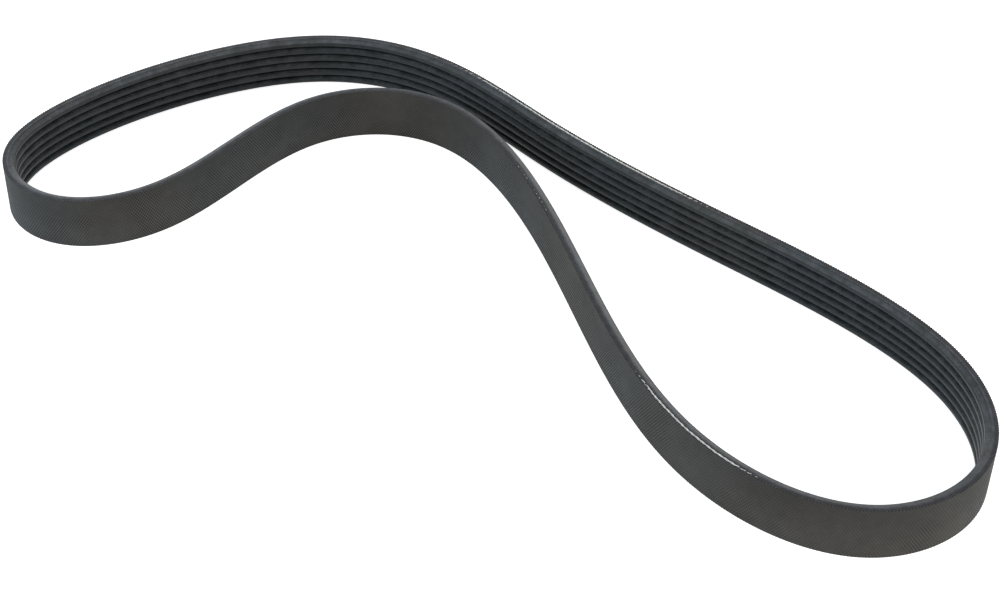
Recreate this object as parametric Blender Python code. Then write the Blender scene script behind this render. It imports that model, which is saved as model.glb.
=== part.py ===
"""Ribbed serpentine belt, standing on one cut edge in the loop that it springs into.

Six V-shaped ribs run round the inside of a flat band, and the band's back is covered with
cloth. The belt is cured as one wide sleeve and slit to width, so it is one solid: a single
upright section that is carried round a closed route.

Units are metres. +Z is up, X runs along the loop, and the origin is the middle of the
loop's footprint, on the surface that the belt stands on.
"""
import math

import bpy
import numpy as np

MM = 0.001

# The ribs, to the usual six-rib section with its 3.56 mm pitch
RIB_COUNT = 6
RIB_PITCH = 3.56 * MM
RIB_ANGLE = math.radians(40)
RIB_HEIGHT = 2.3 * MM
GROOVE_ROOT = 0.5 * MM

# The band behind the ribs, and how far under its back the tensile cords lie
BACK_THICKNESS = 2.2 * MM
CORD_DEPTH = 1.2 * MM

# The length round the loop, measured along the cords
BELT_LENGTH = 1053 * MM

# The loop's shape seen from above, anticlockwise from its right-hand end, as it was read
# from the photograph. These points set the shape alone: BELT_LENGTH sets how long it is.
LOOP_POINTS = [
    (157, -49), (81, 26), (18, 82), (-27, 125), (-97, 136), (-190, 63), (-173, 28),
    (-128, 38), (-78, 93), (-25, 94), (22, 9), (62, -90), (118, -126), (159, -105),
]

# Sections are set closer where the loop bends, and nearly evenly where it bends less
# than the radius given here
SECTIONS = 150
GENTLE_RADIUS = 400 * MM

# Steps between two loop points while the smooth curve is measured
CURVE_STEPS = 200

# Cured rubber, a little lighter than black
RUBBER_COLOUR = (0.050, 0.052, 0.054, 1.0)
RUBBER_ROUGHNESS = 0.7

# Edges sharper than this stay crisp when the belt is shaded smooth
CREASE_ANGLE = math.radians(15)

BELT_WIDTH = RIB_COUNT * RIB_PITCH
THICKNESS = BACK_THICKNESS + RIB_HEIGHT


def remove_scene_objects():
    """Empty the scene, so that a second run gives the same result."""
    for item in list(bpy.data.objects):
        bpy.data.objects.remove(item, do_unlink=True)


def smooth_slopes(points, gaps):
    """Slopes at the points that let a closed run of cubics bend evenly through them."""
    count = len(points)
    matrix = np.zeros((count, count))
    target = np.zeros((count, 2))
    for i in range(count):
        after = (i + 1) % count
        gap_in = gaps[i - 1]
        gap_out = gaps[i]
        matrix[i, i - 1] = 1 / gap_in
        matrix[i, i] = 2 / gap_in + 2 / gap_out
        matrix[i, after] = 1 / gap_out
        step_in = (points[i] - points[i - 1]) / gap_in**2
        step_out = (points[after] - points[i]) / gap_out**2
        target[i] = 3 * (step_in + step_out)
    return np.linalg.solve(matrix, target)


def cord_line():
    """Close points along the cords, seen from above, at the belt's real length."""
    points = np.array(LOOP_POINTS, dtype=float)
    following = np.roll(points, -1, axis=0)
    gaps = np.sqrt(np.linalg.norm(following - points, axis=1))
    slopes = smooth_slopes(points, gaps)
    t = np.linspace(0, 1, CURVE_STEPS, endpoint=False)[:, None]
    runs = []
    for i, start in enumerate(points):
        end = following[i]
        slope_start = slopes[i] * gaps[i]
        slope_end = slopes[(i + 1) % len(points)] * gaps[i]
        run = (2 * t**3 - 3 * t**2 + 1) * start + (t**3 - 2 * t**2 + t) * slope_start
        run = run + (3 * t**2 - 2 * t**3) * end + (t**3 - t**2) * slope_end
        runs.append(run)
    line = np.vstack(runs)
    drawn_length = np.linalg.norm(np.roll(line, -1, axis=0) - line, axis=1).sum()
    return line * BELT_LENGTH / drawn_length


def loop_stations():
    """Places of the sections on the cord line, and the way out of the loop at each."""
    line = cord_line()
    chord = np.roll(line, -1, axis=0) - np.roll(line, 1, axis=0)
    step = np.linalg.norm(chord, axis=1) / 2
    along = chord / (2 * step[:, None])
    turn = np.roll(along, -1, axis=0) - np.roll(along, 1, axis=0)
    curvature = np.linalg.norm(turn, axis=1) / (2 * step)
    share = np.sqrt(curvature + 1 / GENTLE_RADIUS) * step
    reached = np.concatenate([[0], np.cumsum(share)])
    wanted = np.arange(SECTIONS) / SECTIONS * reached[-1]
    picked = np.searchsorted(reached, wanted, side="right") - 1
    outward = np.column_stack([along[:, 1], -along[:, 0]])
    return line[picked], outward[picked]


def section_outline():
    """The belt's section as (depth under the back, height), up the ribbed side."""
    flank = RIB_HEIGHT * math.tan(RIB_ANGLE / 2)
    outline = [(0, 0), (BACK_THICKNESS, 0)]
    for rib in range(RIB_COUNT):
        foot = rib * RIB_PITCH + GROOVE_ROOT / 2
        head = (rib + 1) * RIB_PITCH - GROOVE_ROOT / 2
        outline.append((BACK_THICKNESS, foot))
        outline.append((THICKNESS, foot + flank))
        outline.append((THICKNESS, head - flank))
        outline.append((BACK_THICKNESS, head))
    outline.append((BACK_THICKNESS, BELT_WIDTH))
    outline.append((0, BELT_WIDTH))
    return outline


def sweep_section(places, outward, outline):
    """Vertices and faces of the section carried once round the loop."""
    vertices = []
    for place, out in zip(places, outward):
        for depth, height in outline:
            x, y = place + out * (CORD_DEPTH - depth)
            vertices.append((x, y, height))
    vertices = np.array(vertices)
    middle = (vertices.min(axis=0) + vertices.max(axis=0)) / 2
    vertices[:, :2] -= middle[:2]

    corners = len(outline)
    faces = []
    for i in range(len(places)):
        this_ring = i * corners
        next_ring = (i + 1) % len(places) * corners
        for j in range(corners):
            k = (j + 1) % corners
            faces.append((this_ring + j, this_ring + k, next_ring + k, next_ring + j))
    return vertices, faces


def rubber_material():
    """Plain cured rubber."""
    material = bpy.data.materials.new("belt_rubber")
    material.use_nodes = True
    shader = material.node_tree.nodes["Principled BSDF"]
    shader.inputs["Base Color"].default_value = RUBBER_COLOUR
    shader.inputs["Roughness"].default_value = RUBBER_ROUGHNESS
    shader.inputs["Metallic"].default_value = 0.0
    material.diffuse_color = RUBBER_COLOUR
    return material


def make_belt():
    """The belt, as one closed solid."""
    places, outward = loop_stations()
    vertices, faces = sweep_section(places, outward, section_outline())
    mesh = bpy.data.meshes.new("belt")
    mesh.from_pydata(vertices.tolist(), [], faces)
    mesh.validate()
    mesh.shade_smooth()
    mesh.set_sharp_from_angle(angle=CREASE_ANGLE)
    mesh.materials.append(rubber_material())
    belt = bpy.data.objects.new("belt", mesh)
    bpy.context.scene.collection.objects.link(belt)
    return belt


def main():
    remove_scene_objects()
    make_belt()


main()
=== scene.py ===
"""Serpentine belt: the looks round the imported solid.

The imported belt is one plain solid. Here it gets its rounded ribs and ground rubber, the
woven cloth on its back with every yarn crossing in relief, and the tensile cord that the
slitting knife laid bare along parts of the upper edge. All three follow one closed route,
which repeats the route of the part's own source.

Units are metres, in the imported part's frame. The file is laid out as an add-on, and runs
as a script from top to bottom.
"""
import math

import bpy
import numpy as np
from mathutils import Matrix, Vector


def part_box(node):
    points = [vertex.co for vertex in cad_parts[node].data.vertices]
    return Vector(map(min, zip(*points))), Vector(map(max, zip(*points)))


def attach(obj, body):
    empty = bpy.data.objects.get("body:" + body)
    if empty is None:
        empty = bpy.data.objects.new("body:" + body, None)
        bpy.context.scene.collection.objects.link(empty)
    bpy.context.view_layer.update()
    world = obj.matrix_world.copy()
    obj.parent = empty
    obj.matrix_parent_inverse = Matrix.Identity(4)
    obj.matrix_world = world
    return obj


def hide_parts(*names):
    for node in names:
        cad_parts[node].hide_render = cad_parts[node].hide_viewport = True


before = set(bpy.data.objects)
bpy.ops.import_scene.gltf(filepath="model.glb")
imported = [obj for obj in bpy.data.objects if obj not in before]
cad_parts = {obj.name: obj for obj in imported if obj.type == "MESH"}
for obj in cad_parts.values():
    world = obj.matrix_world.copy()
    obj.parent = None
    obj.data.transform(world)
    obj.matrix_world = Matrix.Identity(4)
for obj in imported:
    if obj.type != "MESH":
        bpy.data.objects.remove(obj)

bl_info = {
    "name": "Ribbed belt",
    "version": (1, 0, 0),
    "blender": (4, 5, 0),
    "location": "3D view > Sidebar > Belt",
    "description": "Builds a ribbed belt from rubber, woven cloth and tensile cord",
    "category": "Add Mesh",
}

MM = 0.001

CAD_LOW, CAD_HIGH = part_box("belt")
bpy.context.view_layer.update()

# The loop's shape seen from above, anticlockwise from its right-hand end. These points
# set the shape alone: the belt's length sets how long it is.
LOOP_POINTS = [
    (157, -49), (81, 26), (18, 82), (-27, 125), (-97, 136), (-190, 63), (-173, 28),
    (-128, 38), (-78, 93), (-25, 94), (22, 9), (62, -90), (118, -126), (159, -105),
]

# Steps between two loop points while the smooth curve is measured, and the even points
# that the pieces then follow
CURVE_STEPS = 200
ROUTE_POINTS = 2106

# Stretches of the upper edge where the knife ran into the cord, in metres round the loop
# from the first loop point. Each lists where the cord starts to surface, where it lies
# bare, where it starts to sink again, where it is gone, how bare it gets (1 is wholly
# bare) and how much nearer the back it lies than elsewhere.
BARE_STRETCHES = [
    (0.084, 0.146, 0.202, 0.286, 1.0, 0.0),
    (0.702, 0.727, 0.748, 0.774, 0.42, 0.0002),
    (0.836, 0.862, 0.896, 0.917, 1.0, 0.0003),
]

# The stretch where rubber fills the weave most: its middle and its reach to either side,
# both in weave repeats from the first loop point
FILLED_REPEATS = (828.0, 70.0)

# Fixed seeds of the slow patches on the cloth
WORN_SEED = 1233.0
TINT_SEED = 1319.0

# One row of the cloth's grid, in weave repeats, and how far its inner rows are tucked in
ROW_REPEATS = 0.25
CLOTH_TUCK = 0.1 * MM

# How far up a rib's flank the low-gloss rubber of the grooves reaches
DULL_SHARE = 0.4

# Gloss and sheen of each rubber finish. Between two ribs both are nearly gone.
RUBBER_FINISHES = {"ground_rubber": (0.29, 0.20), "groove_rubber": (0.08, 0.03)}

# Edges sharper than these angles stay crisp
RUBBER_CREASE = math.radians(38)
CLOTH_CREASE = math.radians(55)
CORD_CREASE = math.radians(60)

WHOLE_TURN = 2 * math.pi


def length_property(name, description, millimetres):
    """A size in metres, given here in millimetres."""
    return bpy.props.FloatProperty(
        name=name, description=description, default=millimetres * MM,
        min=0.0, precision=5, unit="LENGTH",
    )


def colour_property(name, description, colour):
    """A colour in linear light."""
    return bpy.props.FloatVectorProperty(
        name=name, description=description, default=colour, size=3,
        min=0.0, max=1.0, subtype="COLOR",
    )


class BeltRouteSizes(bpy.types.PropertyGroup):
    """The route that all the pieces follow."""

    belt_length: length_property(
        "Belt length", "Length round the loop, measured along the cords", 1053)
    width: bpy.props.FloatProperty(
        name="Width", description="From one cut edge to the other",
        default=CAD_HIGH.z - CAD_LOW.z, precision=5, unit="LENGTH")
    cord_depth: length_property(
        "Cord depth", "How far under the back the cords lie", 1.2)


class BeltRubberSizes(bpy.types.PropertyGroup):
    """The rubber band and its ribs."""

    rib_count: bpy.props.IntProperty(
        name="Ribs", description="Number of ribs across the belt", default=6, min=1)
    rib_angle: bpy.props.FloatProperty(
        name="Rib angle", description="Angle between the two flanks of one rib",
        default=math.radians(40), subtype="ANGLE", unit="ROTATION")
    rib_height: length_property("Rib height", "From groove to rib tip", 2.3)
    groove_root: length_property("Groove root", "Width of the flat in a groove", 0.5)
    back_thickness: length_property(
        "Back thickness", "From the back to the grooves", 2.2)
    cloth_seat: length_property(
        "Cloth seat", "Depth under the back at which the cloth meets the rubber", 0.32)
    tip_rounding: length_property("Tip rounding", "Radius on the rib tips", 0.32)
    root_rounding: length_property("Root rounding", "Radius in the grooves", 0.2)
    edge_rounding: length_property("Edge rounding", "Radius on the cut edges", 0.09)
    channel_width: length_property(
        "Channel width", "Width of the furrow round the bare cord", 1.0)
    channel_depth: length_property(
        "Channel depth", "Depth of the furrow round the bare cord", 0.4)
    stations: bpy.props.IntProperty(
        name="Stations", description="Sections round the loop", default=660, min=50)
    ground_colour: colour_property(
        "Ground rubber", "Flanks of the ribs", (0.051, 0.0595, 0.0648))
    tip_colour: colour_property(
        "Tip rubber", "Tips of the ribs", (0.0135, 0.0168, 0.0188))
    # Painted shade at the foot of each flank, down in the grooves
    groove_foot_shade_colour: colour_property(
        "Groove rubber", "Foot of each flank", (0.029, 0.036, 0.040))
    # Painted shade deep between two ribs
    rib_gap_shade_colour: colour_property(
        "Dull rubber", "Deep between two ribs", (0.0138, 0.0171, 0.0192))
    cut_colour: colour_property(
        "Cut rubber", "The two slit edges, on their ribbed side", (0.075, 0.078, 0.086))
    bonding_colour: colour_property(
        "Bonding rubber", "The slit edges round the cords", (0.020, 0.022, 0.027))


class BeltClothSizes(bpy.types.PropertyGroup):
    """The woven cloth on the back."""

    repeats_around: bpy.props.IntProperty(
        name="Repeats around", description="Weave repeats round the loop",
        default=942, min=8)
    steps_across: bpy.props.IntProperty(
        name="Steps across", description="Quarter repeats across the belt",
        default=50, min=4)
    thickness: length_property("Thickness", "Thickness of the cloth", 0.34)
    relief: length_property("Relief", "From the gaps to the yarn crossings", 0.20)
    fray: length_property("Fray", "How far the cut cloth stands over the edge", 0.04)
    tooth: length_property("Tooth", "Height of the cut yarn ends along both edges", 0.16)
    yarn_colour: colour_property(
        "Yarn", "Rubbered yarn on top of the weave", (0.062, 0.062, 0.062))
    gap_colour: colour_property(
        "Gaps", "Rubber between the yarns", (0.005, 0.005, 0.005))


class BeltCordSizes(bpy.types.PropertyGroup):
    """The tensile cord where it lies bare."""

    ply_count: bpy.props.IntProperty(
        name="Plies", description="Yarns twisted into the cord", default=2, min=2)
    ply_radius: length_property("Ply radius", "Radius of one yarn", 0.20)
    twist_radius: length_property(
        "Twist radius", "From the cord's middle to the middle of a yarn", 0.18)
    lay: length_property("Lay", "Length of one full turn of the twist", 5.2)
    bare_depth: length_property(
        "Bare depth", "From the edge to the cord's middle where it is bare", 0.19)
    hidden_depth: length_property(
        "Hidden depth", "From the edge to the cord's middle where it is covered", 0.45)
    point_gap: length_property("Point gap", "Distance between two points", 0.45)
    yarn_colour: colour_property("Yarn", "Bare polyester yarn", (0.90, 0.90, 0.88))
    dust_colour: colour_property(
        "Rubber dust", "Rubber that the knife smeared on the yarn", (0.10, 0.10, 0.10))


class BeltStageSizes(bpy.types.PropertyGroup):
    """Floor, light and camera."""

    floor_colour: colour_property("Floor", "Pale floor", (0.9, 0.9, 0.9))
    floor_size: length_property("Floor size", "Side of the floor", 12000)
    sky_level: bpy.props.FloatProperty(
        name="Sky level", description="Strength of the even light from all round",
        default=0.13, min=0.0)
    sky_colour: colour_property("Sky", "Even light from all round", (0.96, 0.99, 1.0))
    camera_lens: bpy.props.FloatProperty(
        name="Lens", description="Focal length in millimetres on a 36 mm sensor",
        default=74.22, min=1.0, subtype="DISTANCE_CAMERA", unit="CAMERA")
    camera_distance: length_property(
        "Camera distance", "From the camera to the aim point", 765.2)
    camera_height_angle: bpy.props.FloatProperty(
        name="Camera height angle", description="How far the camera looks down",
        default=math.radians(40.221), subtype="ANGLE", unit="ROTATION")
    camera_roll: bpy.props.FloatProperty(
        name="Camera roll", description="How far the camera leans, anticlockwise",
        default=math.radians(1.209), subtype="ANGLE", unit="ROTATION")
    aim_point: bpy.props.FloatVectorProperty(
        name="Aim point", description="Place on the floor at the picture's middle",
        default=(12.52 * MM, -6.14 * MM, 0.0), precision=5, subtype="TRANSLATION",
        unit="LENGTH")


class Nodes:
    """Adds nodes to one tree and links them."""

    def __init__(self, tree):
        self.tree = tree
        self.row = 0

    def add(self, kind, settings=None, inputs=None):
        """One node, with its settings and with a value or a link for each input."""
        node = self.tree.nodes.new(kind)
        node.location = (220 * (self.row % 12), -260 * (self.row // 12))
        self.row += 1
        for name, value in (settings or {}).items():
            setattr(node, name, value)
        for key, value in (inputs or {}).items():
            self.feed(node.inputs[key], value)
        return node

    def feed(self, socket, value):
        """Links another node's output to the socket, or sets the socket's value."""
        if isinstance(value, bpy.types.NodeSocket):
            self.tree.links.new(value, socket)
        else:
            socket.default_value = value

    def maths(self, operation, *values):
        """The result of one maths node."""
        node = self.add("ShaderNodeMath", {"operation": operation},
                        dict(enumerate(values)))
        return node.outputs[0]

    def vectors(self, operation, *values):
        """The vector result of one vector maths node."""
        node = self.add("ShaderNodeVectorMath", {"operation": operation},
                        dict(enumerate(values)))
        return node.outputs[0]

    def scaled(self, vector, factor):
        """A vector times a number."""
        node = self.add("ShaderNodeVectorMath", {"operation": "SCALE"},
                        {0: vector, "Scale": factor})
        return node.outputs[0]

    def joined(self, x, y, z):
        """A vector made from three numbers."""
        return self.add("ShaderNodeCombineXYZ", None, {0: x, 1: y, 2: z}).outputs[0]

    def parts(self, vector):
        """The three numbers of a vector."""
        return self.add("ShaderNodeSeparateXYZ", None, {0: vector}).outputs

    def ramp(self, value, low, high, out_low=0.0, out_high=1.0):
        """The value carried smoothly from one range to another, and held at the ends."""
        node = self.add("ShaderNodeMapRange", {"interpolation_type": "SMOOTHSTEP"},
                        {0: value, 1: low, 2: high, 3: out_low, 4: out_high})
        return node.outputs[0]

    def mixed(self, share, first, second):
        """A colour between two others."""
        node = self.add("ShaderNodeMix", {"data_type": "RGBA"},
                        {0: share, 6: first, 7: second})
        return node.outputs[2]

    def tinted(self, colour, factor):
        """A colour times another colour or a number."""
        node = self.add("ShaderNodeMix", {"data_type": "RGBA", "blend_type": "MULTIPLY"},
                        {0: 1.0, 6: colour, 7: factor})
        return node.outputs[2]

    def noise(self, vector, scale, detail=2.0, roughness=0.5, w=None):
        """A noise value; with w it is noise in four dimensions."""
        settings = {"noise_dimensions": "3D" if w is None else "4D"}
        inputs = {"Vector": vector, "Scale": scale, "Detail": detail,
                  "Roughness": roughness}
        if w is not None:
            inputs["W"] = w
        return self.add("ShaderNodeTexNoise", settings, inputs).outputs[0]


def rgba(colour):
    """A colour with full opacity."""
    return (colour[0], colour[1], colour[2], 1.0)


# Route

def smooth_slopes(points, gaps):
    """Slopes at the points that let a closed run of cubics bend evenly through them."""
    count = len(points)
    matrix = np.zeros((count, count))
    target = np.zeros((count, 2))
    for i in range(count):
        after = (i + 1) % count
        gap_in = gaps[i - 1]
        gap_out = gaps[i]
        matrix[i, i - 1] = 1 / gap_in
        matrix[i, i] = 2 / gap_in + 2 / gap_out
        matrix[i, after] = 1 / gap_out
        step_in = (points[i] - points[i - 1]) / gap_in**2
        step_out = (points[after] - points[i]) / gap_out**2
        target[i] = 3 * (step_in + step_out)
    return np.linalg.solve(matrix, target)


def cord_line(belt_length):
    """Close points along the cords, seen from above, at the belt's real length."""
    points = np.array(LOOP_POINTS, dtype=float)
    following = np.roll(points, -1, axis=0)
    gaps = np.sqrt(np.linalg.norm(following - points, axis=1))
    slopes = smooth_slopes(points, gaps)
    t = np.linspace(0, 1, CURVE_STEPS, endpoint=False)[:, None]
    runs = []
    for i, start in enumerate(points):
        end = following[i]
        slope_start = slopes[i] * gaps[i]
        slope_end = slopes[(i + 1) % len(points)] * gaps[i]
        run = (2 * t**3 - 3 * t**2 + 1) * start + (t**3 - 2 * t**2 + t) * slope_start
        run = run + (3 * t**2 - 2 * t**3) * end + (t**3 - t**2) * slope_end
        runs.append(run)
    line = np.vstack(runs)
    drawn_length = np.linalg.norm(np.roll(line, -1, axis=0) - line, axis=1).sum()
    return line * belt_length / drawn_length


class Route:
    """The cord line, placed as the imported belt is, with the way out of the loop."""

    def __init__(self, scene):
        sizes = scene.belt_route
        rubber = scene.belt_rubber
        line = cord_line(sizes.belt_length)
        chord = np.roll(line, -1, axis=0) - np.roll(line, 1, axis=0)
        along = chord / np.linalg.norm(chord, axis=1)[:, None]
        outward = np.column_stack([along[:, 1], -along[:, 0]])
        inner_depth = rubber.back_thickness + rubber.rib_height - sizes.cord_depth
        both_sides = np.vstack([line + outward * sizes.cord_depth,
                                line - outward * inner_depth])
        line = line - (both_sides.min(axis=0) + both_sides.max(axis=0)) / 2
        gap = np.linalg.norm(np.roll(line, -1, axis=0) - line, axis=1)
        self.length = gap.sum()
        self.reached = np.concatenate([[0.0], np.cumsum(gap)])
        self.line = np.vstack([line, line[:1]])
        self.outward = np.vstack([outward, outward[:1]])

    def at(self, distance):
        """Places and outward directions at these distances round the loop."""
        distance = np.mod(distance, self.length)
        place = np.zeros((len(distance), 3))
        out = np.zeros((len(distance), 3))
        for axis in range(2):
            place[:, axis] = np.interp(distance, self.reached, self.line[:, axis])
            out[:, axis] = np.interp(distance, self.reached, self.outward[:, axis])
        return place, out / np.linalg.norm(out, axis=1)[:, None]


def surfacing(distance):
    """How far the cord has surfaced at these distances, 0 to 1, and its shift outwards."""
    surfaced = np.zeros(len(distance))
    shift = np.zeros(len(distance))
    for start, bare, sinking, gone, share, outwards in BARE_STRETCHES:
        rise = np.clip((distance - start) / (bare - start), 0, 1)
        fall = np.clip((gone - distance) / (gone - sinking), 0, 1)
        surfaced = np.maximum(surfaced, np.minimum(rise, fall) * share)
        shift = np.where((distance >= start) & (distance <= gone), outwards, shift)
    return surfaced, shift


def line_object(name, places, edges, values):
    """A mesh of bare edges, with named values on its points, for a node tree to follow."""
    mesh = bpy.data.meshes.new(name)
    mesh.from_pydata(places.tolist(), edges, [])
    for key, data in values.items():
        data = np.asarray(data, dtype=np.float32)
        kind = "FLOAT" if data.ndim == 1 else "FLOAT_VECTOR"
        field = "value" if data.ndim == 1 else "vector"
        attribute = mesh.attributes.new(key, kind, "POINT")
        attribute.data.foreach_set(field, data.ravel())
    item = bpy.data.objects.new(name, mesh)
    bpy.context.scene.collection.objects.link(item)
    return item


def route_object(route):
    """The whole closed route as an object."""
    distance = np.arange(ROUTE_POINTS) * route.length / ROUTE_POINTS
    places, outward = route.at(distance)
    turn = WHOLE_TURN * distance / route.length
    radius = route.length / WHOLE_TURN
    ring = np.column_stack([np.cos(turn), np.sin(turn), np.zeros(ROUTE_POINTS)])
    surfaced, shift = surfacing(distance)
    # The furrow opens once the cord has more than half surfaced
    bare = np.clip(surfaced * 2.2 - 1.2, 0, 1)
    edges = [(i, (i + 1) % ROUTE_POINTS) for i in range(ROUTE_POINTS)]
    values = {"outward": outward, "ring": ring * radius, "bare": bare, "shift": shift}
    return line_object("belt_line", places, edges, values)


def finished_piece(name, shaped, helpers, crease_angle):
    """Turns what the node tree made into a plain mesh that rides on the belt's body."""
    depsgraph = bpy.context.evaluated_depsgraph_get()
    mesh = bpy.data.meshes.new_from_object(shaped.evaluated_get(depsgraph),
                                           depsgraph=depsgraph)
    for helper in [shaped, *helpers]:
        bpy.data.objects.remove(helper, do_unlink=True)
    if not mesh.polygons:
        raise RuntimeError(f"{name}: the node tree made no faces")
    mesh.name = name
    mesh.shade_smooth()
    mesh.set_sharp_from_angle(angle=crease_angle)
    piece = bpy.data.objects.new(name, mesh)
    bpy.context.scene.collection.objects.link(piece)
    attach(piece, "root")
    return piece


def run_tree(item, tree, values):
    """Puts the node tree on the object, with its inputs set by their identifiers."""
    modifier = item.modifiers.new(tree.name, "NODES")
    modifier.node_group = tree
    for socket in tree.interface.items_tree:
        if socket.in_out == "INPUT" and socket.name in values:
            modifier[socket.identifier] = values[socket.name]


def new_tree(name, inputs):
    """An empty Geometry Nodes tree with these named inputs: (name, kind, default)."""
    tree = bpy.data.node_groups.new(name, "GeometryNodeTree")
    tree.interface.new_socket("Geometry", in_out="OUTPUT",
                              socket_type="NodeSocketGeometry")
    tree.interface.new_socket("Geometry", in_out="INPUT",
                              socket_type="NodeSocketGeometry")
    for label, kind, default in inputs:
        socket = tree.interface.new_socket(label, in_out="INPUT",
                                           socket_type="NodeSocket" + kind)
        if default is not None:
            socket.default_value = default
    build = Nodes(tree)
    given = build.add("NodeGroupInput").outputs
    return tree, build, given


def end_tree(build, geometry, material, others=()):
    """The end that every tree here has; others are (which faces, their own material)."""
    real = build.add("GeometryNodeRealizeInstances", None, {"Geometry": geometry})
    dressed = build.add("GeometryNodeSetMaterial", None,
                        {"Geometry": real.outputs[0], "Material": material})
    for faces, own_material in others:
        dressed = build.add("GeometryNodeSetMaterial", None, {
            "Geometry": dressed.outputs[0], "Selection": faces,
            "Material": own_material,
        })
    build.add("NodeGroupOutput", None, {"Geometry": dressed.outputs[0]})


# Rubber body

def rounded_outline(corners):
    """A closed outline with an arc at each corner: corners are (x, y, radius, steps)."""
    points = []
    count = len(corners)
    for i, (x, y, radius, steps) in enumerate(corners):
        here = np.array([x, y])
        before = np.array(corners[i - 1][:2]) - here
        after = np.array(corners[(i + 1) % count][:2]) - here
        reach = min(np.linalg.norm(before), np.linalg.norm(after)) * 0.49
        before = before / np.linalg.norm(before)
        after = after / np.linalg.norm(after)
        half_angle = math.acos(np.clip(before @ after, -1, 1)) / 2
        if steps == 0 or half_angle > math.radians(89):
            points.append(tuple(here))
            continue
        radius = min(radius, reach * math.tan(half_angle))
        middle = here + (before + after) / np.linalg.norm(before + after) \
            * radius / math.sin(half_angle)
        tangent = radius / math.tan(half_angle)
        start = here + before * tangent - middle
        end = here + after * tangent - middle
        first = math.atan2(start[1], start[0])
        sweep = math.atan2(end[1], end[0]) - first
        sweep = (sweep + math.pi) % WHOLE_TURN - math.pi
        for k in range(steps + 1):
            angle = first + sweep * k / steps
            points.append((middle[0] + radius * math.cos(angle),
                           middle[1] + radius * math.sin(angle)))
    return points


def outer_rib_middle(scene):
    """How far the middle of the outermost rib lies from the middle of the width."""
    width = scene.belt_route.width
    return (width - width / scene.belt_rubber.rib_count) / 2


def rubber_section(scene):
    """The section as (outward from the cords, minus height), ready for the sweep.

    Points on the straight stretches keep the faces small, and one on each flank is where
    the low-gloss rubber of the grooves ends.
    """
    sizes = scene.belt_rubber
    width = scene.belt_route.width
    cord_depth = scene.belt_route.cord_depth
    pitch = width / sizes.rib_count
    flank = sizes.rib_height * math.tan(sizes.rib_angle / 2)
    thickness = sizes.back_thickness + sizes.rib_height
    edge = sizes.edge_rounding
    corners = [(sizes.cloth_seat, 0, edge * 0.3, 1)]
    for share in (0.25, 0.5, 0.75):
        depth = sizes.cloth_seat + (sizes.back_thickness - sizes.cloth_seat) * share
        corners.append((depth, 0, 0, 0))
    corners.append((sizes.back_thickness, 0, edge, 3))
    for rib in range(sizes.rib_count):
        foot = rib * pitch + sizes.groove_root / 2
        head = (rib + 1) * pitch - sizes.groove_root / 2
        corners.append((sizes.back_thickness, foot, sizes.root_rounding, 3))
        for share in (DULL_SHARE, 0.65):
            corners.append((sizes.back_thickness + sizes.rib_height * share,
                            foot + flank * share, 0, 0))
        corners.append((thickness, foot + flank, sizes.tip_rounding, 3))
        corners.append((thickness, head - flank, sizes.tip_rounding, 3))
        for share in (0.65, DULL_SHARE):
            corners.append((sizes.back_thickness + sizes.rib_height * share,
                            head - flank * share, 0, 0))
        corners.append((sizes.back_thickness, head, sizes.root_rounding, 3))
    corners.append((sizes.back_thickness, width, edge, 3))
    wall = sizes.channel_width / 2
    for offset in (wall, wall * 0.86, wall * 0.68, 0, -wall * 0.68, -wall * 0.86, -wall):
        corners.append((cord_depth + offset, width, 0, 0))
    corners.append((sizes.cloth_seat, width, edge * 0.3, 1))
    for share in (0.8, 0.6, 0.4, 0.2):
        corners.append((sizes.cloth_seat, width * share, 0, 0))
    outline = rounded_outline(corners)
    # Depth is turned into outward distance, and height into minus height
    return [(cord_depth - depth, -height, 0.0) for depth, height in outline]


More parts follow.
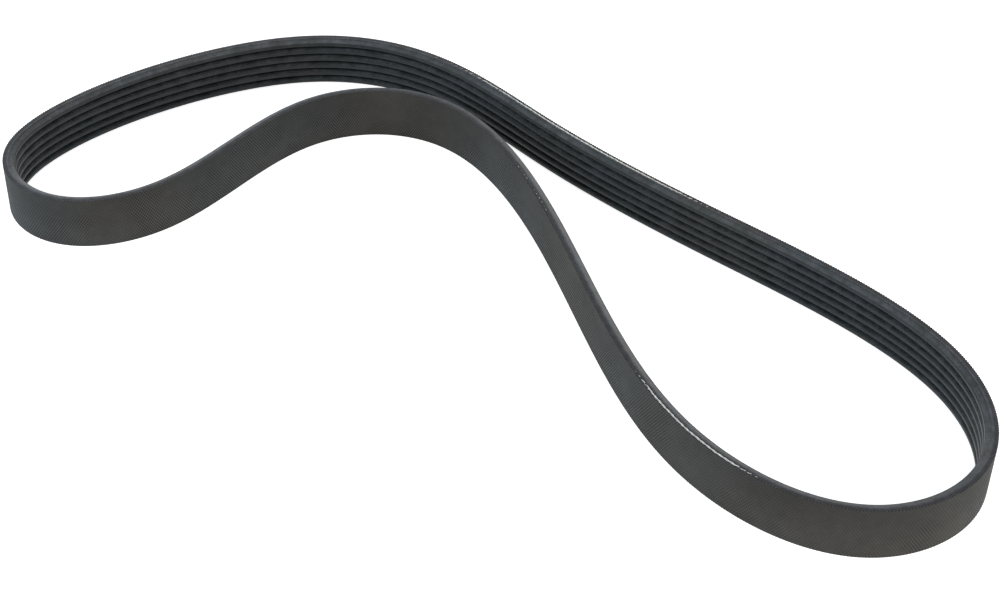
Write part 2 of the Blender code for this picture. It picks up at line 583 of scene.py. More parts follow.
def rubber_tree():
    """The section carried round the route, with a furrow where the cord is bare."""
    tree, build, given = new_tree("Belt rubber", [
        ("Section", "Object", None), ("Stations", "Int", 660), ("Width", "Float", 0.02),
        ("Cord Depth", "Float", 0.0012), ("Channel Width", "Float", 0.001),
        ("Channel Depth", "Float", 0.0004), ("Back Thickness", "Float", 0.0022),
        ("Dull Height", "Float", 0.0009), ("Outer Rib Middle", "Float", 0.009),
        ("Material", "Material", None), ("Groove Material", "Material", None),
    ])
    route = build.add("GeometryNodeMeshToCurve", None, {0: given["Geometry"]})
    even = build.add("GeometryNodeResampleCurve", None,
                     {"Curve": route.outputs[0], "Count": given["Stations"]})
    upright = build.add("GeometryNodeSetCurveNormal", {"mode": "Z_UP"},
                        {"Curve": even.outputs[0]})
    section = build.add("GeometryNodeObjectInfo", None, {"Object": given["Section"]})
    outline = build.add("GeometryNodeMeshToCurve", None,
                        {0: section.outputs["Geometry"]})
    place = build.add("GeometryNodeInputPosition").outputs[0]
    x, y, _ = build.parts(place)
    depth = build.maths("SUBTRACT", given["Cord Depth"], x)
    height = build.maths("MULTIPLY", y, -1.0)
    kept = outline.outputs[0]
    for name, value in (("depth", depth), ("height", height)):
        store = build.add("GeometryNodeStoreNamedAttribute",
                          {"data_type": "FLOAT", "domain": "POINT"},
                          {"Geometry": kept, "Name": name, "Value": value})
        kept = store.outputs[0]
    sweep = build.add("GeometryNodeCurveToMesh", None,
                      {"Curve": upright.outputs[0], "Profile Curve": kept})

    def named(key):
        return build.add("GeometryNodeInputNamedAttribute", {"data_type": "FLOAT"},
                         {"Name": key}).outputs[0]

    cord_middle = build.maths("SUBTRACT", given["Cord Depth"], named("shift"))
    beside = build.maths("ABSOLUTE",
                         build.maths("SUBTRACT", named("depth"), cord_middle))
    share = build.maths("DIVIDE", beside, given["Channel Width"])
    furrow = build.ramp(share, 0.32, 0.5, 1.0, 0.0)
    on_top = build.maths("GREATER_THAN", named("height"),
                         build.maths("SUBTRACT", given["Width"], 0.00001))
    drop = build.maths("MULTIPLY", furrow, named("bare"))
    drop = build.maths("MULTIPLY", drop, on_top)
    drop = build.maths("MULTIPLY", drop, given["Channel Depth"])
    down = build.joined(0.0, 0.0, build.maths("MULTIPLY", drop, -1.0))
    furrowed = build.add("GeometryNodeSetPosition", None,
                         {"Geometry": sweep.outputs[0], "Offset": down})

    # The faces deep between two ribs
    past_back = build.maths("SUBTRACT", named("depth"), given["Back Thickness"])
    is_ribbed = build.maths("GREATER_THAN", past_back, -0.0001)
    is_deep = build.maths("LESS_THAN", past_back, given["Dull Height"])
    half_width = build.maths("MULTIPLY", given["Width"], 0.5)
    aside = build.maths("ABSOLUTE", build.maths("SUBTRACT", named("height"), half_width))
    is_between = build.maths("LESS_THAN", aside, given["Outer Rib Middle"])
    in_groove = build.maths("MULTIPLY", is_between,
                            build.maths("MULTIPLY", is_ribbed, is_deep))
    end_tree(build, furrowed.outputs[0], given["Material"],
             [(in_groove, given["Groove Material"])])
    return tree


# Cloth

def weave_grid(build, given):
    """A flat grid laid out in weave repeats, and the place of each of its points.

    Its odd rows are moved by a quarter repeat and its faces cut along their short
    diagonals, so that each crossing and each gap has a point of its own. Past the rows of
    the outer side come two of the inner side, high and low, and one that closes the skin.
    """
    maths = build.maths
    rows = maths("ADD", given["Steps Across"], 4.0)
    columns = maths("MULTIPLY_ADD", given["Repeats Around"], 2.0, 1.0)
    grid = build.add("GeometryNodeMeshGrid", None,
                     {"Vertices X": columns, "Vertices Y": rows})
    index = build.add("GeometryNodeInputIndex").outputs[0]
    column = maths("FLOOR", maths("DIVIDE", maths("ADD", index, 0.5), rows))
    row = maths("SUBTRACT", index, maths("MULTIPLY", column, rows))
    is_odd = maths("MODULO", row, 2.0)
    is_outer = maths("LESS_THAN", row, maths("ADD", given["Steps Across"], 0.5))
    shift = maths("MULTIPLY", maths("MULTIPLY", is_odd, is_outer), 0.25)
    u = maths("MULTIPLY_ADD", column, 0.5, shift)
    v = maths("MULTIPLY", row, ROW_REPEATS)
    flat = build.add("GeometryNodeSetPosition", None,
                     {"Geometry": grid.outputs[0], "Position": build.joined(u, v, 0.0)})
    cut = build.add("GeometryNodeTriangulate", None, {0: flat.outputs[0]})
    place = build.add("GeometryNodeInputPosition").outputs[0]
    mapped = build.add("GeometryNodeStoreNamedAttribute",
                       {"data_type": "FLOAT2", "domain": "CORNER"},
                       {"Geometry": cut.outputs[0], "Name": "UVMap", "Value": place})
    return mapped.outputs[0], place


def row_height(build, given, v, last, is_inner):
    """The height of each row, with the two inner ones tucked in from both edges."""
    maths = build.maths
    is_low = maths("GREATER_THAN", v, maths("ADD", last, 0.4))
    tall = maths("ADD", given["Width"], given["Fray"])
    height = maths("MULTIPLY", maths("DIVIDE", v, last), tall)
    tucked_high = maths("SUBTRACT", given["Width"], CLOTH_TUCK)
    tucked = maths("MULTIPLY_ADD", is_low,
                   maths("SUBTRACT", CLOTH_TUCK, tucked_high), tucked_high)
    return maths("MULTIPLY_ADD", is_inner, maths("SUBTRACT", tucked, height), height)


def edge_teeth(build, given, wave, v, last, is_inner):
    """How far the cut yarn ends stand up or lie back along both edges."""
    maths = build.maths
    end = maths("MAXIMUM", maths("MULTIPLY_ADD", wave, 0.5, 0.5), 0.0)
    end = maths("MULTIPLY", end, given["Tooth"])
    at_top = maths("LESS_THAN", maths("ABSOLUTE", maths("SUBTRACT", v, last)), 0.05)
    at_foot = maths("LESS_THAN", v, 0.05)
    at_foot = maths("MULTIPLY", at_foot, maths("SUBTRACT", 1.0, is_inner))
    raised = maths("MULTIPLY", end, maths("ADD", at_top, at_foot))
    lowered = maths("MULTIPLY", given["Tooth"], at_top)
    return maths("MULTIPLY_ADD", lowered, -0.5, raised)


def cloth_tree():
    """A closed skin of cloth round the route, with every yarn crossing in relief."""
    tree, build, given = new_tree("Belt cloth", [
        ("Repeats Around", "Int", 942), ("Steps Across", "Int", 50),
        ("Width", "Float", 0.02), ("Cord Depth", "Float", 0.0012),
        ("Thickness", "Float", 0.0003), ("Relief", "Float", 0.0002),
        ("Fray", "Float", 0.0), ("Tooth", "Float", 0.0), ("Material", "Material", None),
    ])
    maths = build.maths
    route = build.add("GeometryNodeMeshToCurve", None, {0: given["Geometry"]})
    weave, place = weave_grid(build, given)
    u, v, _ = build.parts(place)
    last = maths("MULTIPLY", given["Steps Across"], ROW_REPEATS)
    closing = maths("GREATER_THAN", v, maths("ADD", last, 0.6))
    v = maths("MULTIPLY", v, maths("SUBTRACT", 1.0, closing))
    is_inner = maths("GREATER_THAN", v, maths("ADD", last, 0.1))
    factor = maths("FRACT", maths("DIVIDE", u, given["Repeats Around"]))
    sample = build.add("GeometryNodeSampleCurve",
                       {"mode": "FACTOR", "use_all_curves": True},
                       {"Curves": route.outputs[0], "Factor": factor})
    along_x, along_y, _ = build.parts(sample.outputs["Tangent"])
    outward = build.joined(along_y, maths("MULTIPLY", along_x, -1.0), 0.0)
    outward = build.vectors("NORMALIZE", outward)

    height = row_height(build, given, v, last, is_inner)
    wave = maths("MULTIPLY", maths("COSINE", maths("MULTIPLY", u, WHOLE_TURN)),
                 maths("COSINE", maths("MULTIPLY", v, WHOLE_TURN)))
    spot = build.vectors("ADD", sample.outputs["Position"],
                         build.joined(0.0, 0.0, height))
    uneven = build.add("ShaderNodeTexNoise", {"noise_dimensions": "3D"},
                       {"Vector": spot, "Scale": 420.0, "Detail": 2.0}).outputs[0]
    wave = maths("MULTIPLY", wave, maths("MULTIPLY_ADD", uneven, 0.8, 0.6))
    height = maths("ADD", height, edge_teeth(build, given, wave, v, last, is_inner))
    spot = build.vectors("ADD", sample.outputs["Position"],
                         build.joined(0.0, 0.0, height))

    lift = maths("MULTIPLY", maths("MULTIPLY_ADD", wave, 0.5, -0.3), given["Relief"])
    lift = maths("MULTIPLY", lift, maths("SUBTRACT", 1.0, is_inner))
    sunk = maths("MULTIPLY", is_inner, given["Thickness"])
    out = maths("ADD", given["Cord Depth"], maths("SUBTRACT", lift, sunk))
    wrapped = build.vectors("ADD", spot, build.scaled(outward, out))
    cloth = build.add("GeometryNodeSetPosition", None,
                      {"Geometry": weave, "Position": wrapped})
    closed = build.add("GeometryNodeMergeByDistance", None,
                       {"Geometry": cloth.outputs[0], "Distance": 0.000002})
    end_tree(build, closed.outputs[0], given["Material"])
    return tree


# Cord

def cord_object(scene, route):
    """Lines along the bare stretches, at the height where the cord's middle lies."""
    sizes = scene.belt_cord
    places = []
    outwards = []
    turns = []
    bareness = []
    edges = []
    for start, _, _, gone, _, _ in BARE_STRETCHES:
        count = int((gone - start) / sizes.point_gap) + 1
        distance = np.linspace(start, gone, count)
        place, outward = route.at(distance)
        surfaced, shift = surfacing(distance)
        # The cord wanders a little to both sides, and up and down where it is covered
        wander = 0.04 * MM * np.sin(distance * 410) + 0.03 * MM * np.sin(distance * 967)
        place = place + outward * (wander + shift)[:, None]
        depth = sizes.hidden_depth + (sizes.bare_depth - sizes.hidden_depth) * surfaced
        depth = depth + 0.035 * MM * np.sin(distance * 283) * (1 - surfaced)
        place[:, 2] = scene.belt_route.width - depth
        first = sum(len(run) for run in places)
        edges += [(first + i, first + i + 1) for i in range(count - 1)]
        places.append(place)
        outwards.append(outward)
        turns.append(distance / sizes.lay)
        bareness.append(surfaced)
    values = {"outward": np.vstack(outwards), "turns": np.concatenate(turns),
              "bare": np.concatenate(bareness)}
    return line_object("cord_line", np.vstack(places), edges, values)


def cord_tree():
    """Plies twisted round each line."""
    tree, build, given = new_tree("Belt cord", [
        ("Plies", "Int", 2), ("Ply Radius", "Float", 0.0003),
        ("Twist Radius", "Float", 0.0003), ("Material", "Material", None),
    ])
    line = build.add("GeometryNodeMeshToCurve", None, {0: given["Geometry"]})
    plies = build.add("GeometryNodeDuplicateElements", {"domain": "SPLINE"},
                      {"Geometry": line.outputs[0], "Amount": given["Plies"]})
    turns = build.add("GeometryNodeInputNamedAttribute", {"data_type": "FLOAT"},
                      {"Name": "turns"}).outputs[0]
    outward = build.add("GeometryNodeInputNamedAttribute",
                        {"data_type": "FLOAT_VECTOR"}, {"Name": "outward"}).outputs[0]
    own = build.maths("DIVIDE", plies.outputs["Duplicate Index"], given["Plies"])
    angle = build.maths("MULTIPLY", build.maths("ADD", turns, own), WHOLE_TURN)
    aside = build.scaled(outward, build.maths("COSINE", angle))
    up = build.joined(0.0, 0.0, build.maths("SINE", angle))
    offset = build.scaled(build.vectors("ADD", aside, up), given["Twist Radius"])
    twisted = build.add("GeometryNodeSetPosition", None,
                        {"Geometry": plies.outputs[0], "Offset": offset})
    ring = build.add("GeometryNodeCurvePrimitiveCircle", {"mode": "RADIUS"},
                     {"Resolution": 10, "Radius": given["Ply Radius"]})
    around = build.add("GeometryNodeSplineParameter").outputs["Factor"]
    marked = build.add("GeometryNodeStoreNamedAttribute",
                       {"data_type": "FLOAT", "domain": "POINT"},
                       {"Geometry": ring.outputs[0], "Name": "around",
                        "Value": around})
    tube = build.add("GeometryNodeCurveToMesh", None,
                     {"Curve": twisted.outputs[0], "Profile Curve": marked.outputs[0],
                      "Fill Caps": True})
    end_tree(build, tube.outputs[0], given["Material"])
    return tree


# Materials

def new_material(name):
    """An empty material with its shader and output, ready for nodes."""
    material = bpy.data.materials.new(name)
    material.use_nodes = True
    tree = material.node_tree
    tree.nodes.clear()
    build = Nodes(tree)
    shader = build.add("ShaderNodeBsdfPrincipled")
    build.add("ShaderNodeOutputMaterial", None, {"Surface": shader.outputs[0]})
    return material, build, shader


def attribute_value(build, name):
    """A number stored on the piece's points."""
    return build.add("ShaderNodeAttribute", {"attribute_name": name}).outputs["Fac"]


def group_node(build, group, inputs):
    """A shared node group placed in a material."""
    return build.add("ShaderNodeGroup", {"node_tree": group}, inputs)


def new_effect(name, inputs, outputs):
    """An empty shared effect: inputs are (name, kind, default), outputs (name, kind)."""
    group = bpy.data.node_groups.new(name, "ShaderNodeTree")
    for label, kind, default in inputs:
        socket = group.interface.new_socket(label, in_out="INPUT",
                                            socket_type="NodeSocket" + kind)
        if default is not None:
            socket.default_value = default
    for label, kind in outputs:
        group.interface.new_socket(label, in_out="OUTPUT",
                                   socket_type="NodeSocket" + kind)
    build = Nodes(group)
    given = build.add("NodeGroupInput").outputs
    return group, build, given


def mottle_effect():
    """Fine grain, slow mottling and pale specks, for every rubbery surface."""
    group, build, given = new_effect(
        "Rubber mottle",
        [("Vector", "Vector", None), ("Grain", "Float", 1.0), ("Specks", "Float", 1.0)],
        [("Shade", "Float"), ("Speck", "Float"), ("Height", "Float")],
    )
    vector = given["Vector"]
    fine = build.noise(vector, 5200.0, 3.0, 0.6)
    middle = build.noise(vector, 900.0, 2.0)
    slow = build.noise(vector, 240.0, 2.0)
    shade = build.maths("MULTIPLY_ADD", middle, 0.5, build.maths("MULTIPLY", slow, 0.7))
    shade = build.maths("MULTIPLY_ADD", fine, 0.35, shade)
    specks = build.add("ShaderNodeTexVoronoi", {"feature": "F1"},
                       {"Vector": vector, "Scale": 1500.0})
    close = build.ramp(specks.outputs["Distance"], 0.05, 0.22, 1.0, 0.0)
    chosen = build.maths("GREATER_THAN", build.parts(specks.outputs["Color"])[0], 0.86)
    speck = build.maths("MULTIPLY", build.maths("MULTIPLY", close, chosen),
                        given["Specks"])
    height = build.maths("MULTIPLY_ADD", middle, 0.6, fine)
    height = build.maths("MULTIPLY", height, given["Grain"])
    build.add("NodeGroupOutput", None,
              {"Shade": shade, "Speck": speck, "Height": height})
    return group


def weave_effect():
    """Plain weave in repeats: where the yarns lie, which one is on top, and its fibres."""
    group, build, given = new_effect(
        "Plain weave",
        [("Weave", "Vector", None), ("Fibres", "Float", 5.0)],
        [("Yarn", "Float"), ("Height", "Float"), ("Fibre", "Float")],
    )
    maths = build.maths
    u, v, _ = build.parts(given["Weave"])
    heights = []
    fibres = []
    for lean, side in ((-1.0, 1.0), (1.0, -1.0)):
        lane = maths("MULTIPLY_ADD", v, lean, u)
        off = maths("SUBTRACT", maths("FRACT", maths("ADD", lane, 0.5)), 0.5)
        centre = maths("MULTIPLY_ADD", off, -0.5, u)
        lift = maths("COSINE", maths("MULTIPLY", centre, WHOLE_TURN))
        crown = maths("COSINE", maths("MULTIPLY", off, math.pi))
        height = maths("MULTIPLY_ADD", lift, 0.45 * side, crown)
        heights.append(height)
        other = maths("MULTIPLY_ADD", v, -lean, u)
        twist = maths("MULTIPLY_ADD", other, 1.6, maths("MULTIPLY", off, given["Fibres"]))
        fibres.append(maths("SINE", maths("MULTIPLY", twist, WHOLE_TURN)))
    top = maths("MAXIMUM", heights[0], heights[1])
    first_on_top = maths("GREATER_THAN", heights[0], heights[1])
    fibre = maths("MULTIPLY_ADD", first_on_top,
                  maths("SUBTRACT", fibres[0], fibres[1]), fibres[1])
    yarn = build.ramp(top, 0.65, 1.4)
    build.add("NodeGroupOutput", None,
              {"Yarn": yarn, "Height": top, "Fibre": fibre})
    return group


def rib_zones(build, scene, depth, height):
    """Where the rubber is knife-cut, on its tip, and where shade is painted: at a rib's foot
    and between ribs.
    """
    sizes = scene.belt_rubber
    width = scene.belt_route.width
    thickness = sizes.back_thickness + sizes.rib_height
    aside = build.maths("ABSOLUTE", build.maths("SUBTRACT", height, width / 2))
    cut = build.ramp(aside, width / 2 - 0.08 * MM, width / 2 - 0.02 * MM)
    groove = build.ramp(depth, sizes.back_thickness + 0.15 * MM,
                        sizes.back_thickness + 0.9 * MM, 1.0, 0.0)
    tip = build.ramp(depth, thickness - 0.45 * MM, thickness - 0.1 * MM)

    # Painted shade deep between two ribs; the outer flanks of the outermost ribs face the
    # open, so they get none
    rib_middle = outer_rib_middle(scene)
    between = build.ramp(aside, rib_middle - 0.1 * MM, rib_middle + 0.1 * MM, 1.0, 0.0)
    rib_gap_shade = build.ramp(depth, sizes.back_thickness + 0.4 * MM,
                      sizes.back_thickness + 1.4 * MM, 1.0, 0.0)
    return cut, groove, tip, build.maths("MULTIPLY", rib_gap_shade, between)


def cut_edge_colour(build, scene, depth, ring):
    """The slit edges: darker round the cords, and cut yarn ends next to the cloth."""
    sizes = scene.belt_rubber
    cloth = scene.belt_cloth
    outer_side = build.ramp(depth, 1.1 * MM, sizes.back_thickness, 1.0, 0.0)
    colour = build.mixed(outer_side, rgba(sizes.cut_colour), rgba(sizes.bonding_colour))
    ring_x, ring_y, _ = build.parts(ring)
    angle = build.maths("ARCTAN2", ring_y, ring_x)
    repeats = build.maths("MULTIPLY", angle, float(cloth.repeats_around))
    wave = build.maths("COSINE", repeats)
    yarn_ends = build.mixed(build.ramp(wave, -0.6, 0.5, 1.0, 0.0),
                            rgba(cloth.gap_colour), rgba(cloth.yarn_colour))
    near_cloth = build.ramp(depth, 0.45 * MM, 0.65 * MM, 0.9, 0.0)
    return build.mixed(near_cloth, colour, yarn_ends)


def bloomed(build, colour, place):
    """The colour with faint patches a few millimetres long, some bluish and some not."""
    patchy = build.noise(place, 150.0, 3.0, 0.6, 2.0)
    bloom = build.mixed(build.ramp(patchy, 0.36, 0.64), (0.80, 0.83, 0.82, 1.0),
                        (1.22, 1.18, 1.24, 1.0))
    slow_tint = build.noise(place, 28.0, 2.0, 0.5, 7.0)
    tint = build.mixed(build.ramp(slow_tint, 0.35, 0.65), (0.94, 1.0, 1.04, 1.0),
                       (1.08, 1.0, 0.98, 1.0))
    return build.tinted(colour, build.tinted(bloom, tint))


def rubber_material(scene, mottle, name):
    """Cured rubber: ground on the ribs, less glossy between them, knife-cut on the edges,
    with painted shade in the grooves.
    """
    sizes = scene.belt_rubber
    gloss, sheen = RUBBER_FINISHES[name]
    material, build, shader = new_material(name)
    place = build.add("ShaderNodeTexCoord").outputs["Object"]
    ring = build.add("ShaderNodeAttribute", {"attribute_name": "ring"}).outputs["Vector"]
    depth = attribute_value(build, "depth")
    height = attribute_value(build, "height")
    grain = group_node(build, mottle, {"Vector": place, "Grain": 1.0, "Specks": 1.0})

    # Marks that the grinding wheel and the knife left along the belt
    slow_ring = build.scaled(ring, 90.0)
    across = build.joined(0.0, 0.0, build.maths("MULTIPLY", height, 5200.0))
    marks = build.noise(build.vectors("ADD", slow_ring, across), 1.0, 3.0, 0.6,
                        build.maths("MULTIPLY", depth, 5200.0))

    cut, groove, tip, rib_gap_shade = rib_zones(build, scene, depth, height)
    colour = build.mixed(tip, rgba(sizes.ground_colour), rgba(sizes.tip_colour))
    # Painted shade: darker at the foot of each flank
    colour = build.mixed(groove, colour, rgba(sizes.groove_foot_shade_colour))
    # Painted shade, darker still, deep between two ribs
    colour = build.mixed(rib_gap_shade, colour, rgba(sizes.rib_gap_shade_colour))
    colour = build.mixed(cut, colour, cut_edge_colour(build, scene, depth, ring))
    shade = build.ramp(grain.outputs["Shade"], 0.6, 0.95, 0.66, 1.36)
    shade = build.maths("MULTIPLY", shade, build.ramp(marks, 0.3, 0.7, 0.82, 1.18))
    colour = bloomed(build, build.tinted(colour, shade), place)
    speck = build.maths("MULTIPLY", grain.outputs["Speck"], 0.45)
    colour = build.mixed(speck, colour, (0.15, 0.155, 0.17, 1.0))
    build.feed(shader.inputs["Base Color"], colour)

    rough = build.maths("MULTIPLY_ADD", cut, 0.32, 0.24)
    rough = build.maths("MULTIPLY_ADD", tip, 0.16, rough)
    rough = build.maths("MULTIPLY_ADD", marks, 0.12, rough)
    build.feed(shader.inputs["Roughness"], rough)
    shader.inputs["Specular IOR Level"].default_value = gloss
    shader.inputs["Sheen Weight"].default_value = sheen
    shader.inputs["Sheen Roughness"].default_value = 0.3
    shader.inputs["Sheen Tint"].default_value = (0.92, 0.96, 1.0, 1.0)
    relief = build.maths("MULTIPLY_ADD", marks, 1.4, grain.outputs["Height"])
    bump = build.add("ShaderNodeBump", None,
                     {"Strength": 0.55, "Distance": 0.03 * MM, "Height": relief})
    build.feed(shader.inputs["Normal"], bump.outputs[0])
    return material


def filled_gaps(build, scene, place, repeats):
    """How far rubber fills the gaps of the weave: in patches, and more near the top."""
    width = scene.belt_route.width
    middle, reach = FILLED_REPEATS
    patchy = build.noise(place, 34.0, 3.0, 0.6, 5.0)
    beside = build.maths("ABSOLUTE", build.maths("SUBTRACT", repeats, middle))
    stretch = build.ramp(beside, 0.0, reach, 0.2, 0.0)
    high = build.ramp(build.parts(place)[2], width * 0.45, width, 0.0, 0.13)
    patchy = build.maths("ADD", build.maths("ADD", patchy, stretch), high)
    return build.ramp(patchy, 0.45, 0.68, 0.0, 0.75)


def cloth_material(scene, mottle, weave):
    """Rubbered cloth: paler where the yarns stand up, dark in the gaps."""
    sizes = scene.belt_cloth
    material, build, shader = new_material("woven_back")
    place = build.add("ShaderNodeTexCoord").outputs["Object"]
    own_map = build.add("ShaderNodeUVMap", {"uv_map": "UVMap"}).outputs[0]
    cloth = group_node(build, weave, {"Weave": own_map, "Fibres": 5.0})
    grain = group_node(build, mottle, {"Vector": place, "Grain": 1.0, "Specks": 0.6})
    filled = filled_gaps(build, scene, place, build.parts(own_map)[0])
    top_yarn = cloth.outputs["Yarn"]
    evened = build.maths("MULTIPLY_ADD", filled, build.maths("SUBTRACT", 0.66, top_yarn),
                         top_yarn)
    colour = build.mixed(evened, rgba(sizes.gap_colour), rgba(sizes.yarn_colour))

    # Worn patches, and painted light from the floor that makes the foot paler than the top
    worn = build.noise(place, 26.0, 3.0, 0.55, WORN_SEED)
    shade = build.ramp(grain.outputs["Shade"], 0.45, 1.1, 0.86, 1.14)
    shade = build.maths("MULTIPLY", shade, build.ramp(worn, 0.3, 0.7, 0.82, 1.2))
    low = build.ramp(build.parts(place)[2], 0.0, scene.belt_route.width, 1.24, 0.76)
    shade = build.maths("MULTIPLY", shade, low)
    slow_tint = build.noise(place, 12.0, 2.0, 0.5, TINT_SEED)
    tint = build.mixed(build.ramp(slow_tint, 0.35, 0.65),
                       (0.94, 1.0, 1.06, 1.0), (1.06, 1.0, 0.94, 1.0))
    colour = build.tinted(colour, tint)
    shade = build.maths("MULTIPLY_ADD", cloth.outputs["Fibre"], 0.06, shade)
    colour = build.tinted(colour, shade)
    speck = build.maths("MULTIPLY", grain.outputs["Speck"], 0.22)
    colour = build.mixed(speck, colour, (0.14, 0.14, 0.14, 1.0))
    build.feed(shader.inputs["Base Color"], colour)

    rough = build.maths("MULTIPLY_ADD", cloth.outputs["Yarn"], -0.1, 0.78)
    build.feed(shader.inputs["Roughness"], rough)
    shader.inputs["Specular IOR Level"].default_value = 0.3
    relief = build.maths("MULTIPLY_ADD", cloth.outputs["Fibre"], 0.12,
                         cloth.outputs["Height"])
    relief = build.maths("MULTIPLY", relief,
                         build.maths("MULTIPLY_ADD", filled, -0.8, 1.0))
    relief = build.maths("MULTIPLY_ADD", grain.outputs["Height"], 0.25, relief)
    bump = build.add("ShaderNodeBump", None,
                     {"Strength": 0.5, "Distance": 0.06 * MM, "Height": relief})
    build.feed(shader.inputs["Normal"], bump.outputs[0])
    return material


def cord_material(scene, mottle):
    """Off-white yarn with rubber smeared over parts of it."""
    sizes = scene.belt_cord
    material, build, shader = new_material("bare_cord")
    place = build.add("ShaderNodeTexCoord").outputs["Object"]
    grain = group_node(build, mottle, {"Vector": place, "Grain": 0.5, "Specks": 0.0})
    turns = attribute_value(build, "turns")
    around = attribute_value(build, "around")
    fibre = build.maths("MULTIPLY_ADD", around, 7.0, build.maths("MULTIPLY", turns, -9.0))
    fibre = build.maths("SINE", build.maths("MULTIPLY", fibre, WHOLE_TURN))

    # Rubber is smeared over the yarn here and there, and most where the cord only just
    # comes to the surface
    covered = build.maths("MULTIPLY_ADD", attribute_value(build, "bare"), -0.34, 0.34)
    smear = build.maths("ADD", build.noise(place, 420.0, 3.0, 0.6), covered)
    share = build.ramp(smear, 0.62, 0.78)
    colour = build.mixed(share, rgba(sizes.yarn_colour), rgba(sizes.dust_colour))
    shade = build.maths("MULTIPLY_ADD", fibre, 0.08, 0.96)
    colour = build.tinted(colour, shade)
    build.feed(shader.inputs["Base Color"], colour)
    shader.inputs["Roughness"].default_value = 0.7
    relief = build.maths("MULTIPLY_ADD", grain.outputs["Height"], 0.3, fibre)
    bump = build.add("ShaderNodeBump", None,
                     {"Strength": 0.5, "Distance": 0.04 * MM, "Height": relief})
    build.feed(shader.inputs["Normal"], bump.outputs[0])
    return material


def shared_effect(name, make):
    """The named effect, made the first time it is asked for."""
    return bpy.data.node_groups.get(name) or make()


# Stage

def floor_material(sizes):
    """A pale floor that the camera sees as white, with the belt's soft shadow on it."""
    material, build, shader = new_material("pale_floor")
    place = build.add("ShaderNodeTexCoord").outputs["Object"]
    cloudy = build.ramp(build.noise(place, 3.0, 2.0), 0.3, 0.7, 0.99, 1.0)
    build.feed(shader.inputs["Base Color"],
               build.tinted(rgba(sizes.floor_colour), cloudy))
    shader.inputs["Roughness"].default_value = 0.9
    shader.inputs["Specular IOR Level"].default_value = 0.0
    shader.inputs["Emission Color"].default_value = (1.0, 1.0, 1.0, 1.0)
    rays = build.add("ShaderNodeLightPath").outputs
    seen = build.maths("MAXIMUM", rays["Is Camera Ray"], rays["Is Glossy Ray"])
    seen = build.maths("MAXIMUM", seen, rays["Is Transmission Ray"])
    build.feed(shader.inputs["Emission Strength"], build.maths("MULTIPLY", seen, 0.85))
    return material


def make_sky(sizes):
    """Even white light from all round, and white behind the belt."""
    world = bpy.data.worlds.new("studio_sky")
    bpy.context.scene.world = world
    world.use_nodes = True
    tree = world.node_tree
    tree.nodes.clear()
    build = Nodes(tree)
    rays = build.add("ShaderNodeLightPath").outputs
    seen = build.maths("MAXIMUM", rays["Is Camera Ray"], rays["Is Glossy Ray"])
    seen = build.maths("MAXIMUM", seen, rays["Is Transmission Ray"])
    level = build.maths("MULTIPLY_ADD", seen, 1.0 - sizes.sky_level, sizes.sky_level)
    colour = build.mixed(seen, rgba(sizes.sky_colour), (1.0, 1.0, 1.0, 1.0))
    sky = build.add("ShaderNodeBackground", None, {"Color": colour, "Strength": level})
    build.add("ShaderNodeOutputWorld", None, {"Surface": sky.outputs[0]})


# Soft lamps round the belt: name, place, aim, side, power and colour
LAMPS = [
    ("top_lamp", (0.0, 0.0, 1.4), (0.0, 0.0, 0.0), 0.9, 3.0, (0.98, 0.99, 1.0)),
    ("left_lamp", (-0.65, -0.1, 0.3), (0.0, 0.0, 0.0), 0.4, 2.3, (0.75, 0.93, 1.0)),
    ("left_front_lamp", (-0.75, -0.75, 0.35), (-0.1, 0.0, 0.0), 0.5, 2.2, (1.0, 0.98, 0.94)),
    ("front_lamp", (0.25, -1.0, 0.35), (0.1, -0.1, 0.0), 0.5, 1.1, (1.0, 0.9, 0.72)),
    ("right_front_lamp", (0.85, -0.6, 0.35), (0.15, -0.1, 0.0), 0.4, 5.0, (1.0, 0.99, 0.91)),
    ("right_lamp", (1.1, -0.1, 0.5), (0.1, 0.0, 0.0), 0.5, 0.6, (0.85, 0.95, 1.0)),
    ("back_right_lamp", (0.6, 1.1, 0.55), (0.0, 0.0, 0.0), 0.6, 1.7, (1.0, 0.99, 0.98)),
    ("back_left_lamp", (-0.4, 1.2, 0.45), (-0.1, 0.1, 0.0), 0.5, 2.0, (1.0, 0.99, 0.98)),
]


def make_lamp(name, place, aim, size, power, colour):
    """One large soft lamp."""
    data = bpy.data.lights.new(name, "AREA")
    data.shape = "SQUARE"
    data.size = size
    data.energy = power
    data.color = colour
    lamp = bpy.data.objects.new(name, data)
    bpy.context.scene.collection.objects.link(lamp)
    lamp.location = place
    lamp.rotation_euler = (Vector(aim) - Vector(place)).to_track_quat("-Z", "Y").to_euler()


def make_camera(sizes):
    """The camera at the photo's place."""
    data = bpy.data.cameras.new("photo_camera")
    data.sensor_width = 36.0
    data.sensor_fit = "HORIZONTAL"
    data.lens = sizes.camera_lens
    camera = bpy.data.objects.new("photo_camera", data)
    bpy.context.scene.collection.objects.link(camera)
    angle = sizes.camera_height_angle
    back = Vector((0.0, -math.cos(angle), math.sin(angle)))
    place = Vector(sizes.aim_point) + back * sizes.camera_distance
    turn = (-back).to_track_quat("-Z", "Y").to_matrix().to_4x4()
    lean = Matrix.Rotation(sizes.camera_roll, 4, "Z")
    camera.matrix_world = Matrix.Translation(place) @ turn @ lean
    data.clip_start = 0.01
    data.clip_end = 100.0
    bpy.context.scene.camera = camera


# Operators

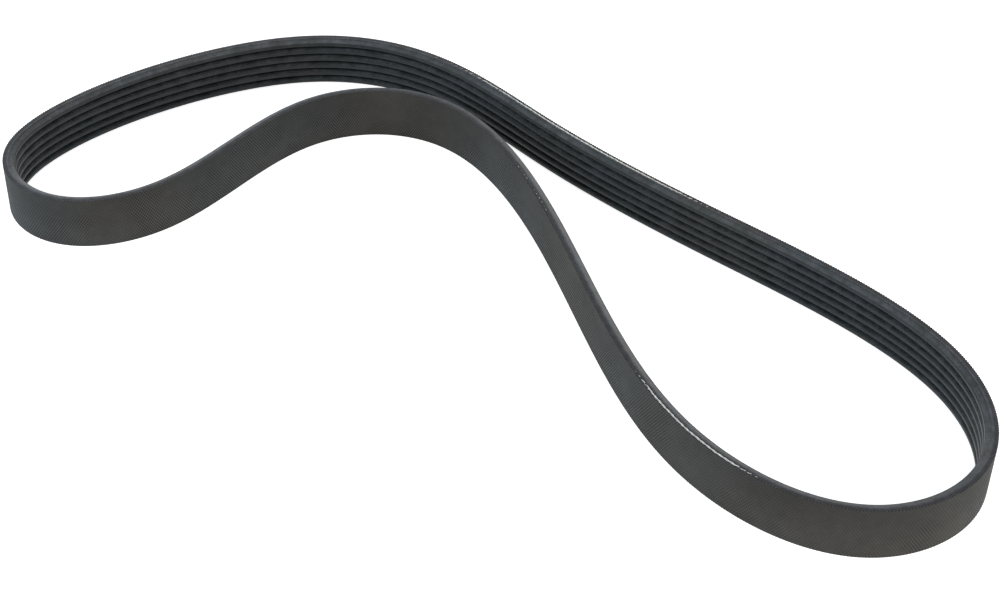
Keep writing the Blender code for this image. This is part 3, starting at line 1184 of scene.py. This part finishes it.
class BELT_OT_make_rubber(bpy.types.Operator):
    """Make the rubber band with its ribs"""

    bl_idname = "belt.make_rubber"
    bl_label = "Rubber body"

    def execute(self, context):
        scene = context.scene
        sizes = scene.belt_rubber
        line = route_object(Route(scene))
        outline = np.array(rubber_section(scene))
        edges = [(i, (i + 1) % len(outline)) for i in range(len(outline))]
        section = line_object("rubber_section", outline, edges, {})
        mottle = shared_effect("Rubber mottle", mottle_effect)
        run_tree(line, rubber_tree(), {
            "Section": section, "Stations": sizes.stations,
            "Width": scene.belt_route.width, "Cord Depth": scene.belt_route.cord_depth,
            "Channel Width": sizes.channel_width, "Channel Depth": sizes.channel_depth,
            "Back Thickness": sizes.back_thickness,
            "Dull Height": sizes.rib_height * DULL_SHARE,
            "Outer Rib Middle": outer_rib_middle(scene),
            "Material": rubber_material(scene, mottle, "ground_rubber"),
            "Groove Material": rubber_material(scene, mottle, "groove_rubber"),
        })
        piece = finished_piece("rubber_body", line, [section], RUBBER_CREASE)
        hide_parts("belt")
        return {"FINISHED"}


class BELT_OT_make_cloth(bpy.types.Operator):
    """Make the woven cloth on the back"""

    bl_idname = "belt.make_cloth"
    bl_label = "Cloth back"

    def execute(self, context):
        scene = context.scene
        sizes = scene.belt_cloth
        line = route_object(Route(scene))
        mottle = shared_effect("Rubber mottle", mottle_effect)
        weave = shared_effect("Plain weave", weave_effect)
        run_tree(line, cloth_tree(), {
            "Repeats Around": sizes.repeats_around, "Steps Across": sizes.steps_across,
            "Width": scene.belt_route.width, "Cord Depth": scene.belt_route.cord_depth,
            "Thickness": sizes.thickness, "Relief": sizes.relief, "Fray": sizes.fray,
            "Tooth": sizes.tooth,
            "Material": cloth_material(scene, mottle, weave),
        })
        finished_piece("cloth_back", line, [], CLOTH_CREASE)
        return {"FINISHED"}


class BELT_OT_make_cord(bpy.types.Operator):
    """Make the tensile cord where it lies bare in the upper edge"""

    bl_idname = "belt.make_cord"
    bl_label = "Bare cord"

    def execute(self, context):
        scene = context.scene
        sizes = scene.belt_cord
        line = cord_object(scene, Route(scene))
        mottle = shared_effect("Rubber mottle", mottle_effect)
        run_tree(line, cord_tree(), {
            "Plies": sizes.ply_count, "Ply Radius": sizes.ply_radius,
            "Twist Radius": sizes.twist_radius,
            "Material": cord_material(scene, mottle),
        })
        finished_piece("tensile_cord", line, [], CORD_CREASE)
        return {"FINISHED"}


class BELT_OT_make_stage(bpy.types.Operator):
    """Make the floor, the light and the camera"""

    bl_idname = "belt.make_stage"
    bl_label = "Stage"

    def execute(self, context):
        sizes = context.scene.belt_stage
        half = sizes.floor_size / 2
        mesh = bpy.data.meshes.new("floor")
        corners = [(-half, -half, 0), (half, -half, 0), (half, half, 0), (-half, half, 0)]
        mesh.from_pydata(corners, [], [(0, 1, 2, 3)])
        mesh.materials.append(floor_material(sizes))
        floor = bpy.data.objects.new("floor", mesh)
        context.scene.collection.objects.link(floor)
        make_sky(sizes)
        for name, place, aim, size, power, colour in LAMPS:
            make_lamp(name, place, aim, size, power, colour)
        make_camera(sizes)
        context.scene.view_settings.view_transform = "Standard"
        return {"FINISHED"}


class BELT_PT_panel(bpy.types.Panel):
    """The belt's pieces, with their sizes and colours"""

    bl_idname = "BELT_PT_panel"
    bl_label = "Ribbed belt"
    bl_space_type = "VIEW_3D"
    bl_region_type = "UI"
    bl_category = "Belt"

    def draw(self, context):
        for group_name, operator in PANEL_ROWS:
            box = self.layout.box()
            group = getattr(context.scene, group_name)
            for name in group.bl_rna.properties.keys():
                if name not in {"rna_type", "name"}:
                    box.prop(group, name)
            if operator:
                box.operator(operator)


PANEL_ROWS = [
    ("belt_route", None),
    ("belt_rubber", "belt.make_rubber"),
    ("belt_cloth", "belt.make_cloth"),
    ("belt_cord", "belt.make_cord"),
    ("belt_stage", "belt.make_stage"),
]

SIZE_GROUPS = {
    "belt_route": BeltRouteSizes,
    "belt_rubber": BeltRubberSizes,
    "belt_cloth": BeltClothSizes,
    "belt_cord": BeltCordSizes,
    "belt_stage": BeltStageSizes,
}

CLASSES = [
    *SIZE_GROUPS.values(),
    BELT_OT_make_rubber,
    BELT_OT_make_cloth,
    BELT_OT_make_cord,
    BELT_OT_make_stage,
    BELT_PT_panel,
]


def register():
    """Adds the classes to Blender, and the sizes to every scene."""
    for item in CLASSES:
        bpy.utils.register_class(item)
    for name, group in SIZE_GROUPS.items():
        setattr(bpy.types.Scene, name, bpy.props.PointerProperty(type=group))


def unregister():
    """Takes them out again."""
    for name in SIZE_GROUPS:
        delattr(bpy.types.Scene, name)
    for item in reversed(CLASSES):
        bpy.utils.unregister_class(item)


def main():
    """Builds the whole scene."""
    register()
    bpy.ops.belt.make_rubber()
    bpy.ops.belt.make_cloth()
    bpy.ops.belt.make_cord()
    bpy.ops.belt.make_stage()


if __name__ == "__main__":
    main()
